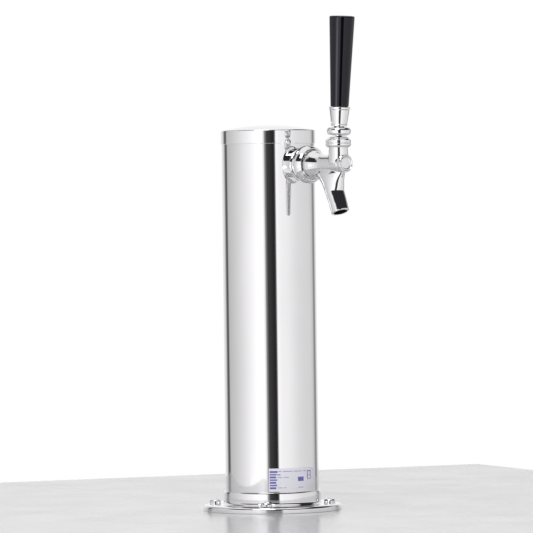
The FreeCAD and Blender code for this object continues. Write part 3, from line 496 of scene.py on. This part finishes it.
def make_bezel():
    """Round flange between column and nut, hollowed at the back to the column's curve."""
    low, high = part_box("shank_bezel")
    radius, face = mm(high.x), -mm(low.y)
    back, hole, edge = 34.1, 9.6, 2.4
    profile = [(hole, back), (radius, back), (radius, face - edge)]
    profile += arc(radius - edge, face - edge, edge, 0, 90, 8)[1:]
    profile += [(hole, face), (hole, back)]
    piece = laid(turned("shank_bezel_ring", profile, FINE_SIDES), ALONG_TAP)
    tube, foot, top = mm(column_high.x) + 0.02, 200, 330
    column = turned("bezel_cutter", [(0, foot), (tube, foot), (tube, top), (0, top)], 256)
    cut_away(piece, column, "EXACT")
    smooth(piece)
    return finish_piece(piece, chrome, "tower", "chrome_plate", "shank_bezel")


def make_coupling_nut():
    """Rounded ring nut: a full belly with a fine step round its middle, and a bored face."""
    back, face = -mm(nut_high.y), -mm(nut_low.y)
    radius, middle = mm(nut_high.x), 51.7
    belly, shank_hole, skirt, mouth = 9.0, 9.8, 12.7, 12.6
    thread, thread_end = 11.85, 48.25
    profile = [(shank_hole, back), (skirt, back)]
    profile += arc(skirt, back + 0.8, 0.8, -80, -20, 4)
    profile += arc(radius - belly, middle, belly, -24, 0, 6)
    profile += arc(radius - belly, middle, belly, 5, 36, 8)
    profile += [(13.3, face), (mouth, face), (mouth, face - 0.5), (thread, face - 0.9),
                (thread, thread_end), (shank_hole, thread_end), (shank_hole, back)]
    piece = turned("coupling_ring_nut", profile, FINE_SIDES)
    rounded(piece, 0.12, 2, 50)
    smooth(piece)
    laid(piece, ALONG_TAP)
    return finish_piece(piece, chrome, "tower", "chrome_plate", "coupling_nut")


# ---------------------------------------------------------------- tap body


# the spout's level cuts: (below the barrel's axis, shift, growth in length, growth in width)
SPOUT_CUTS = [
    (50.0, 0.0, 0.0, 0.0),
    (38.0, 0.0, 0.1, 0.1),
    (31.0, 0.0, 0.3, 0.25),
    (25.0, -0.35, 0.6, 0.4),
    (21.0, -0.8, 0.95, 0.5),
    (18.0, -0.25, 2.1, 0.55),
    (15.0, -0.2, 3.35, 0.55),
    (13.0, -0.3, 4.7, 0.5),
    (11.0, -0.4, 6.25, 0.4),
    (9.0, -0.6, 8.2, 0.15),
    (7.5, -0.8, 9.75, -0.1),
    (4.0, -0.6, 12.15, -1.4),
]
SPOUT_TILT = math.radians(20.7)
SPOUT_ROOT, SPOUT_REACH, SPOUT_RADIUS = 76.3, 41.4, 7.2
SPOUT_TOP = Vector((0, -SPOUT_ROOT * MM, TAP_HEIGHT))
SPOUT_WAY = Vector((0, -math.sin(SPOUT_TILT), -math.cos(SPOUT_TILT)))


def make_spout_blank():
    """The spout, drawn from oval to oval up into the barrel."""
    deselect()
    bpy.ops.mesh.primitive_circle_add(vertices=FINE_SIDES, radius=1.0)
    piece = bpy.context.object
    piece.name = "spout_blank"
    bpy.ops.object.mode_set(mode="EDIT")
    bpy.ops.mesh.select_all(action="SELECT")
    before = (1.0, 1.0, 0.0, 0.0)
    for index, (below, shift, longer, wider) in enumerate(SPOUT_CUTS):
        across = (SPOUT_RADIUS + wider) * MM
        along = (SPOUT_RADIUS / math.cos(SPOUT_TILT) + longer) * MM
        out = -(SPOUT_ROOT + below * math.tan(SPOUT_TILT) + shift) * MM
        height = TAP_HEIGHT - below * MM
        step = (0, out - before[2], height - before[3])
        if index:
            bpy.ops.mesh.extrude_region_move(TRANSFORM_OT_translate={"value": step})
        else:
            bpy.ops.transform.translate(value=step)
        bpy.ops.transform.resize(value=(across / before[0], along / before[1], 1),
                                 center_override=(0, out, height))
        before = (across, along, out, height)
        if index == 0:
            bpy.ops.mesh.edge_face_add()
    bpy.ops.mesh.edge_face_add()
    bpy.ops.mesh.select_all(action="SELECT")
    bpy.ops.mesh.normals_make_consistent(inside=False)
    bpy.ops.object.mode_set(mode="OBJECT")
    return piece


def tap_blank():
    """Barrel, neck and spout melted into one skin, as a casting's fillets run."""
    barrel_profile = [(0, 56.8), (11.1, 56.8), (11.2, 58.2)]
    barrel_profile += [(11.15, 60.0), (10.4, 63.0), (9.2, 65.8), (8.2, 68.4), (7.55, 71.0)]
    barrel_profile += [(7.4, 74.0), (7.4, 94.0), (6.9, 95.4), (0, 95.4)]
    barrel = laid(turned("barrel_blank", barrel_profile, FINE_SIDES), ALONG_TAP)
    neck = laid(turned("neck_blank", [(0, 0), (8.4, 0), (7.64, 12.4), (7.6, 17.0),
                                      (0, 17.0)], FINE_SIDES), ON_NECK)
    casting = join([barrel, neck, make_spout_blank()], "tap_body_casting")
    apply_modifier(casting, "REMESH", mode="VOXEL", voxel_size=0.32 * MM)
    apply_modifier(casting, "SMOOTH", factor=0.5, iterations=14)
    return casting


def trim_mouth(casting):
    """Cut the spout off square, half a millimetre short, and roll a lip onto the end."""
    work_on(casting)
    bpy.ops.object.mode_set(mode="EDIT")
    bpy.ops.mesh.select_all(action="SELECT")
    tip = SPOUT_TOP + SPOUT_WAY * (SPOUT_REACH * MM)
    bpy.ops.mesh.bisect(plane_co=tip - SPOUT_WAY * (0.5 * MM), plane_no=SPOUT_WAY,
                        use_fill=True, clear_outer=True)
    bpy.ops.mesh.inset(thickness=0.15 * MM, depth=0.33 * MM)
    bpy.ops.mesh.inset(thickness=0.3 * MM, depth=0.17 * MM)
    bpy.ops.object.mode_set(mode="OBJECT")


def paint_bore_shade(casting):
    """Chrome outside, and the near-black painted-shade finish in the spout's bore."""
    casting.data.materials.clear()
    casting.data.materials.append(chrome)
    # the second slot is painted shade: a near-black finish for the darkness inside the bore
    casting.data.materials.append(bore)
    start, end = 8 * MM, (SPOUT_REACH - 0.2) * MM
    for face in casting.data.polygons:
        offset = face.center - SPOUT_TOP
        along = offset.dot(SPOUT_WAY)
        away = (offset - SPOUT_WAY * along).length
        inside = away < (SPOUT_RADIUS - 1.0) * MM and start < along < end
        face.material_index = 1 if inside else 0


def make_tap_body():
    """The cast body: bell, barrel, neck and spout run into each other as one casting."""
    casting = tap_blank()
    trim_mouth(casting)
    for hollow in make_tap_hollows():
        cut_away(casting, hollow, "MANIFOLD")
    paint_bore_shade(casting)
    work_on(casting)
    bpy.ops.object.shade_smooth_by_angle(angle=math.radians(40))
    body = join([casting, make_boss_rim(), make_thread_stub()], "tap_body_casting")
    return finish_piece(body, chrome, "tower", "chrome_plate", "tap_body")


def make_tap_hollows():
    """What is bored out of the casting: valve passage, lever's throat and the outlet."""
    chamber, chamber_end, barrel_bore = 8.2, 61.0, 5.0
    passage = turned("passage_cutter", [
        (0, 46.0), (chamber, 46.0), (chamber, chamber_end), (barrel_bore, chamber_end),
        (barrel_bore, 97.0), (0, 97.0)], FINE_SIDES)
    slot, socket, socket_foot = 5.2, 6.1, 7.8
    throat = turned("throat_cutter", [
        (0, 0), (slot, 0), (slot, socket_foot), (socket, socket_foot), (socket, 18.0),
        (0, 18.0)], FINE_SIDES)
    spout_bore = 5.6
    outlet = turned("outlet_cutter", [(0, 0), (spout_bore, 0), (spout_bore, 48.0), (0, 48.0)],
                    FINE_SIDES)
    aim = Matrix.Translation(SPOUT_TOP) @ Matrix.Rotation(math.pi - SPOUT_TILT, 4, "X")
    return laid(passage, ALONG_TAP), laid(throat, ON_NECK), laid(outlet, aim)


def make_boss_rim():
    """The crisp turned ring round the front plug."""
    face = -mm(body_low.y)
    back, hole, outside, edge = 94.6, 5.55, 7.1, 0.6
    profile = [(hole, back), (6.6, back), (outside, back + 0.4), (outside, face - edge)]
    profile += arc(6.5, face - edge, edge, 0, 90, 5)[1:]
    profile += [(6.1, face - 0.02), (hole, face - 0.7), (hole, back)]
    piece = turned("boss_rim", profile, FINE_SIDES)
    smooth(piece)
    piece.data.materials.append(chrome)
    return laid(piece, ALONG_TAP)


def make_thread_stub():
    """The body's threaded end inside the coupling nut."""
    back, end, root, crest, chamber = 51.4, 57.0, 10.9, 11.8, 8.2
    pitch, turns = 1.4, 4
    profile = [(chamber, back), (root, back)]
    for turn in range(turns):
        foot = back + turn * pitch
        profile += [(crest, foot + 0.55 * pitch), (root, foot + pitch)]
    profile += [(root, end), (chamber, end), (chamber, back)]
    piece = turned("thread_stub", profile, FINE_SIDES)
    smooth(piece)
    piece.data.materials.append(chrome)
    return laid(piece, ALONG_TAP)


def make_front_plug():
    """The plug in front, a shallow dished disc with a soft edge."""
    low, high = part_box("front_plug")
    radius, face, back = mm(high.x), -mm(low.y), -mm(high.y)
    profile = [(0, back), (radius, back), (radius, face - 0.5)]
    profile += arc(radius - 0.5, face - 0.5, 0.5, 0, 90, 4)[1:]
    profile += [(radius - 1.1, face - 0.05), (radius - 1.5, face - 0.3)]
    profile += [(2.0, face - 0.1), (0, face - 0.08)]
    piece = turned("front_plug_disc", profile, FINE_SIDES)
    smooth(piece)
    laid(piece, ALONG_TAP)
    return finish_piece(piece, chrome, "tower", "chrome_plate", "front_plug")


def make_bonnet():
    """The cap nut round the ball: chamfered, with a grip groove and a flared mouth."""
    low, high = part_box("bonnet")
    radius = mm(high.x)
    foot, top = mm(low.z - TAP_HEIGHT), mm(high.z - TAP_HEIGHT)
    bore, socket, socket_foot, bore_top = 7.65, 6.05, 14.75, 17.05
    profile = [(bore, foot), (9.0, foot), (radius, foot + 1.56), (radius, foot + 3.0)]
    profile += [(radius - 0.35, foot + 3.2), (radius - 0.35, foot + 3.6), (radius, foot + 3.8)]
    profile += [(radius, top - 2.8), (radius - 0.25, top - 2.42), (7.5, top - 0.2), (7.3, top)]
    profile += [(7.1, top), (5.0, socket_foot), (socket, socket_foot), (socket, bore_top)]
    profile += [(bore, bore_top), (bore, foot)]
    piece = turned("bonnet_nut", profile, FINE_SIDES)
    rounded(piece, 0.15, 2, 35)
    smooth(piece)
    laid(piece, ON_NECK)
    return finish_piece(piece, chrome, "tower", "chrome_plate", "bonnet")


# ---------------------------------------------------------------- lever and handle


def make_lever():
    """Ball lever: tip, ball, neck, full-round ring and threaded stud, turned in one."""
    ball, tip_height, tip = 5.6, -12.0, 2.2
    stem, neck, ring = 1.8, 2.8, 3.2
    ring_edge, ring_height = 9.7, 14.1
    profile = [(0, tip_height - tip)] + arc(0, tip_height, tip, -80, 35, 8)
    profile += [(stem, tip_height + 2.0)] + arc(0, 0, ball, -71, 60, 14)
    profile += [(neck, 6.0), (neck, 11.4), (neck + 0.5, 12.6)]
    profile += arc(ring_edge - 2.8, ring_height - ring + 2.8, 2.8, -145, 0, 10)
    profile += arc(ring_edge - 2.5, ring_height + ring - 2.5, 2.5, 0, 95, 8)
    crest, root, pitch, turns, top = 4.0, 3.55, 1.5, 15, 42.0
    profile += [(4.9, 17.4), (crest, 17.9)]
    for turn in range(turns):
        foot = 18.4 + turn * pitch
        profile += [(crest, foot), (root, foot + pitch / 2)]
    profile += [(crest, top - 1.0), (3.2, top), (0, top)]
    piece = turned("ball_lever", profile, 80)
    smooth(piece, 50)
    laid(piece, ON_LEVER)
    return finish_piece(piece, chrome, "handle_lever", "chrome_plate", "lever")


def make_ferrule():
    """Tapered chrome ferrule with a rolled foot and a fine bead below the grip."""
    foot, top = 18.2, 33.6
    low_r, high_r, stud, insert, floor = 6.6, 8.5, 4.1, 5.45, 2.6
    profile = [(stud, foot), (low_r - 0.4, foot)]
    profile += arc(low_r - 0.4, foot + 0.4, 0.4, -60, 0, 3)
    profile += [(low_r + 0.08, foot + 1.4), (low_r - 0.15, foot + 1.7), (low_r, foot + 2.1)]
    profile += [(high_r - 0.35, top - 2.4), (high_r - 0.5, top - 2.1), (high_r - 0.05, top - 1.7)]
    profile += arc(high_r - 0.5, top - 0.5, 0.5, 0, 90, 5)
    profile += [(insert, top), (insert, foot + floor), (stud, foot + floor), (stud, foot)]
    piece = turned("handle_ferrule_collar", profile, FINE_SIDES)
    rounded(piece, 0.08, 2, 40)
    smooth(piece)
    laid(piece, ON_LEVER)
    return finish_piece(piece, chrome, "handle_lever", "chrome_plate", "handle_ferrule")


def make_grip():
    """The black moulded grip, a long taper with a softly rounded, slightly crowned top."""
    foot, top, crown = 33.7, 106.2, 106.7
    low_r, high_r, insert, insert_top = 7.35, 10.2, 5.45, 45.5
    steps = 16
    taper = [(low_r + (high_r - low_r) * i / steps, foot + 0.4 + (top - 1.6 - foot) * i / steps)
             for i in range(steps + 1)]
    profile = [(0, insert_top), (insert, insert_top), (insert, foot), (low_r - 0.3, foot)]
    profile += taper
    profile += arc(high_r - 1.2, top - 1.2, 1.2, 5, 84, 7)
    profile += [(7.0, top + 0.22), (5.0, top + 0.36), (2.5, top + 0.46), (0, crown)]
    piece = turned("handle_grip_moulding", profile, SIDES)
    smooth(piece)
    laid(piece, ON_LEVER)
    return finish_piece(piece, phenolic, "handle_lever", "black_plastic", "handle_grip")


# ---------------------------------------------------------------- printed film


# generic print in mm from the film's left edge and foot: (left, right, low, high)
PRINT_BARS = [
    (0.8, 7.0, 15.2, 16.6), (7.6, 10.4, 15.8, 16.3), (11.4, 19.6, 15.8, 16.3),
    (20.6, 28.6, 15.8, 16.3), (30.0, 33.4, 15.8, 16.3),
    (0.8, 6.2, 13.0, 14.4), (6.6, 9.4, 13.3, 13.8), (0.8, 6.0, 10.8, 12.2),
    (6.6, 11.2, 11.1, 11.6), (12.2, 16.6, 11.1, 11.6), (0.8, 6.6, 8.6, 10.0),
    (0.8, 5.8, 6.4, 7.8), (0.8, 6.6, 4.2, 5.6), (0.8, 6.0, 2.0, 3.4),
    (7.4, 11.2, 2.6, 3.1), (12.2, 14.4, 2.6, 3.1),
    (24.6, 30.4, 8.0, 11.6), (25.0, 30.0, 2.6, 3.0),
    (34.6, 38.8, 15.6, 16.2), (34.6, 38.8, 9.0, 9.6), (34.6, 35.2, 9.0, 16.2),
    (38.2, 38.8, 9.0, 16.2), (34.6, 38.8, 12.3, 12.8),
]


def make_print_panel():
    """Milky film round the column's foot, with rows of plain violet bars."""
    low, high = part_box("print_panel")
    foot, top = mm(low.z), mm(high.z)
    face = mm(column_high.x)
    start, sweep = -43.0, 70.0
    thickness, glue, levels = 0.15, 0.005, 47
    outside = [(face + thickness, foot + (top - foot) * i / levels)
               for i in range(levels + 1)]
    profile = [(face + glue, foot)] + outside + [(face + glue, top), (face + glue, foot)]
    piece = turned("print_panel_film", profile, 600)
    bpy.ops.object.mode_set(mode="EDIT")
    for angle, way in ((start, 1), (start + sweep, -1)):
        bpy.ops.mesh.select_all(action="SELECT")
        turn = math.radians(angle)
        edge = Vector((math.cos(turn), math.sin(turn), 0)) * way
        bpy.ops.mesh.bisect(plane_co=(0, 0, 0), plane_no=edge, use_fill=True, clear_inner=True)
    pick(piece, lambda v: v.co.y > 0)
    bpy.ops.mesh.delete(type="VERT")
    bpy.ops.object.mode_set(mode="OBJECT")
    piece.data.materials.append(film)
    piece.data.materials.append(ink)
    for polygon in piece.data.polygons:
        middle = polygon.center
        if math.hypot(middle.x, middle.y) < (face + 0.1) * MM:
            continue
        along = (math.degrees(math.atan2(middle.x, -middle.y)) - start) / 360 * math.tau * face
        up = mm(middle.z) - foot
        printed = any(a < along < b and c < up < d for a, b, c, d in PRINT_BARS)
        polygon.material_index = 1 if printed else 0
    smooth(piece)
    return finish_piece(piece, film, "tower", "printed_film", "print_panel")


# ---------------------------------------------------------------- pieces kept from the model


def refined(node, name, material, body, slot, ease=0.12):
    """A copy of a machined CAD piece with eased edges, even shading and its finish."""
    source = frame["nodes"][node]
    piece = bpy.data.objects.new(name, source.data.copy())
    bpy.context.scene.collection.objects.link(piece)
    piece.data.materials.clear()
    work_on(piece)
    bpy.ops.object.mode_set(mode="EDIT")
    bpy.ops.mesh.select_all(action="SELECT")
    bpy.ops.mesh.remove_doubles(threshold=MM / 500)
    bpy.ops.mesh.dissolve_limited(angle_limit=math.radians(0.5))
    bpy.ops.object.mode_set(mode="OBJECT")
    if ease:
        rounded(piece, ease, 2, 35)
    smooth(piece, 35)
    return finish_piece(piece, material, body, slot, node)


def make_fittings():
    """The machined, moulded and rubber pieces, most of them inside the tower."""
    refined("mounting_screws", "mounting_screw_set", chrome, "tower", "zinc_steel", 0.1)
    refined("base_gasket", "base_gasket_ring", rubber, "tower", "black_rubber", 0)
    refined("shank", "shank_tube", chrome, "tower", "chrome_plate")
    for node, material in (("insulation_sleeve", foam), ("shank_saddle", satin),
                           ("shank_lock_nut", satin), ("coupling_seal", rubber),
                           ("inlet_seal", rubber), ("inlet_nut", satin),
                           ("inlet_elbow", satin), ("ball_seat_ring", acetal),
                           ("friction_ring", acetal), ("valve_shaft", brass),
                           ("valve_washer", rubber), ("valve_nut", brass),
                           ("handle_insert", brass), ("cap_ring", rubber)):
        for slot in frame["nodes"][node].material_slots:
            slot.material = material


make_column()
make_flange()
make_cap()
make_bezel()
make_coupling_nut()
make_tap_body()
make_front_plug()
make_bonnet()
make_lever()
make_ferrule()
make_grip()
make_print_panel()
make_fittings()


# ---------------------------------------------------------------- studio


VIEW_AZIMUTH = -39.0
VIEW_HEIGHT = 0.242
VIEW_DISTANCE = 3.5
VIEW_ROLL = 0.70
LENS, SENSOR = 289.4, 36.0
AIM_HEIGHT = 0.1986
AIM_RIGHT = -0.0025
LIGHTS_AIM = Vector((0, 0, 0.15))
COUNTER_TURN = math.radians(VIEW_AZIMUTH + 24.0)
COUNTER_SIZE = (0.782, 0.823, 0.04)
COUNTER_MIDDLE = (0.03, 0.0515, -0.02)

# brightness round the room, degrees to the right of the camera's own direction
ROOM_BANDS = [
    (-180, 1.0), (-150, 0.86), (-143, 0.70), (-134, 0.14), (-127, 0.10), (-121, 0.60),
    (-98, 0.72), (-78, 0.86), (-60, 1.02), (-46, 1.14), (-34, 1.26), (-21, 1.5), (-12, 1.06),
    (-9, 0.32), (-4, 0.06), (4, 0.04), (12.5, 0.02), (15.5, 0.11), (18.5, 1.20), (27, 1.10),
    (45, 1.05), (60, 0.96), (75, 0.88), (90, 0.84), (118, 0.80), (130, 0.66), (137, 0.30),
    (145, 0.30), (152, 0.8), (180, 1.0),
]

# patches of the room by their soft edges: (measure, value where it starts, value where it is
# full). Height is the sine of the elevation, bearing is in radians.
FRONT_GAP = (("height", 0.25, 0.33), ("height", 0.86, 0.78), ("bearing", -1.6, -1.35),
             ("bearing", 2.4, 2.15))
REAR_GAP = (("height", 0.52, 0.60), ("height", 0.86, 0.80), ("bearing", 1.75, 2.0),
            ("bearing", 3.14, 2.8))
LOW_BOX = (("height", -0.06, -0.09), ("height", -0.24, -0.20), ("bearing", -1.05, -0.90),
           ("bearing", -0.55, -0.65))
CEILING = (("height", 0.78, 0.86),)
CEILING_COLOUR = (1.0, 1.0, 1.0, 1)
LOW_BOX_COLOUR = (3.6, 3.6, 3.7, 1)
GAP_COLOUR = (0.03, 0.029, 0.033, 1)


def calculate(tree, operation, first, second):
    return add_node(tree, MATH, {"operation": operation}, {0: first, 1: second})


def patch(tree, measures, edges):
    """How much of a patch of the room lies that way: the product of its soft edges."""
    share = None
    for name, start, full in edges:
        side = add_node(tree, RANGE, {"interpolation_type": "SMOOTHSTEP"},
                        {"Value": measures[name], "From Min": start, "From Max": full})
        share = calculate(tree, "MULTIPLY", share, side) if share else side
    return share


def painted(tree, share, under, colour):
    return add_node(tree, MIX, COLOURS, {"Factor": share, "A": under, "B": colour})


def band_colour(level):
    green = 0.994
    return (level, level * green, level, 1)


def room_measures(tree):
    """Height and bearing of a direction, the bearing from the camera's own direction."""
    place = add_node(tree, "ShaderNodeTexCoord", {}, {}).outputs["Generated"]
    turn = add_node(tree, MAPPING, {"vector_type": "VECTOR"},
                    {"Rotation": (0, 0, math.radians(-VIEW_AZIMUTH)), "Vector": place})
    split = add_node(tree, "ShaderNodeSeparateXYZ", {}, {"Vector": turn}).outputs
    back = calculate(tree, "MULTIPLY", split["Y"], -1)
    return {"height": split["Z"], "bearing": calculate(tree, "ARCTAN2", split["X"], back)}


def build_room():
    """Soft boxes with dark gaps between them all round, and a pale ceiling."""
    world = bpy.data.worlds.new("studio_room")
    bpy.context.scene.world = world
    world.use_nodes = True
    tree = world.node_tree
    measures = room_measures(tree)
    share = add_node(tree, RANGE, {}, {"Value": measures["bearing"], "From Min": -math.pi,
                                       "From Max": math.pi})
    ramp = add_node(tree, "ShaderNodeValToRGB", {}, {"Fac": share})
    stops = ramp.color_ramp.elements
    first, *between, last = ROOM_BANDS
    stops[0].color, stops[-1].color = band_colour(first[1]), band_colour(last[1])
    for degrees, level in between:
        stops.new((degrees + 180) / 360).color = band_colour(level)
    gap = calculate(tree, "MAXIMUM", patch(tree, measures, FRONT_GAP),
                    patch(tree, measures, REAR_GAP))
    room = painted(tree, patch(tree, measures, CEILING), ramp.outputs["Color"],
                   CEILING_COLOUR)
    room = painted(tree, patch(tree, measures, LOW_BOX), room, LOW_BOX_COLOUR)
    room = painted(tree, gap, room, GAP_COLOUR)
    connect(tree, tree.nodes["Background"].inputs["Color"], room)


def glow(name, colour, strength):
    """A surface that gives off light and reflects none."""
    material = bpy.data.materials.new(name)
    material.use_nodes = True
    tree = material.node_tree
    tree.nodes.clear()
    light = add_node(tree, "ShaderNodeEmission", {},
                     {"Color": linear(colour), "Strength": strength})
    add_node(tree, "ShaderNodeOutputMaterial", {}, {"Surface": light})
    return material


def build_surround():
    """A white surround that only the camera sees; mirrors see the room instead."""
    deselect()
    bpy.ops.mesh.primitive_uv_sphere_add(segments=48, ring_count=24, radius=14.0)
    dome = bpy.context.object
    dome.name = "white_surround"
    dome.data.materials.append(glow("surround_white", "#FFFFFF", 1.0))
    dome.visible_glossy = False
    dome.visible_diffuse = False
    dome.visible_transmission = False
    dome.visible_shadow = False


def counter_top():
    """Sealed pale stone counter: satin, with faint broad mottling."""
    counter = Finish("pale_counter_top", "#D9DADB", Roughness=0.2)
    mottle = counter.add(NOISE, Scale=14.0, Detail=4.0, Roughness=0.6, Vector=counter.place)
    return counter.feed(
        Base_Color=counter.add(MIX, COLOURS, Factor=mottle, A=linear("#DCDDDE"),
                               B=linear("#D4D5D7")),
        Roughness=counter.add(RANGE, Value=mottle, From_Min=0.3, From_Max=0.7, To_Min=0.16,
                              To_Max=0.24))


def build_floor():
    """The pale counter that the tower stands on."""
    deselect()
    bpy.ops.mesh.primitive_cube_add(size=1.0)
    floor = bpy.context.object
    floor.name = "pale_counter"
    floor.data.transform(Matrix.Rotation(COUNTER_TURN, 4, "Z")
                         @ Matrix.Translation(COUNTER_MIDDLE)
                         @ Matrix.Diagonal((*COUNTER_SIZE, 1)))
    floor.data.materials.append(counter_top())


def soft_box(name, place, energy):
    """An area light at the place, turned to the tower's middle."""
    deselect()
    bpy.ops.object.light_add(type="AREA", location=place)
    light = bpy.context.object
    light.name = name
    light.data.energy = energy
    light.rotation_euler = (LIGHTS_AIM - light.location).to_track_quat("-Z", "Y").to_euler()
    return light


def build_light():
    """One large soft box above and in front, left of the camera, and a fill by the camera."""
    fill = soft_box("fill_softbox", (-1.9, -2.6, 0.5), 34)
    fill.data.size = 1.2
    fill.visible_glossy = False
    key = soft_box("key_softbox", (-1.6, -1.0, 2.4), 22)
    key.data.shape = "RECTANGLE"
    key.data.size, key.data.size_y = 1.6, 1.2


def build_camera():
    """A long lens at counter height, a little left of the tap's own direction."""
    data = bpy.data.cameras.new("camera")
    data.lens, data.sensor_width = LENS, SENSOR
    data.clip_end = 100
    camera = bpy.data.objects.new("camera", data)
    bpy.context.scene.collection.objects.link(camera)
    turn = math.radians(VIEW_AZIMUTH)
    place = Vector((math.sin(turn), -math.cos(turn), 0)) * VIEW_DISTANCE
    place.z = VIEW_HEIGHT
    right = Vector((math.cos(turn), math.sin(turn), 0))
    aim = Vector((0, 0, AIM_HEIGHT)) + right * AIM_RIGHT
    look = (aim - place).to_track_quat("-Z", "Y").to_matrix().to_4x4()
    camera.matrix_world = (Matrix.Translation(place) @ look
                           @ Matrix.Rotation(math.radians(-VIEW_ROLL), 4, "Z"))
    bpy.context.scene.camera = camera


build_room()
build_surround()
build_floor()
build_light()
build_camera()
bpy.context.scene.view_settings.view_transform = "Standard"
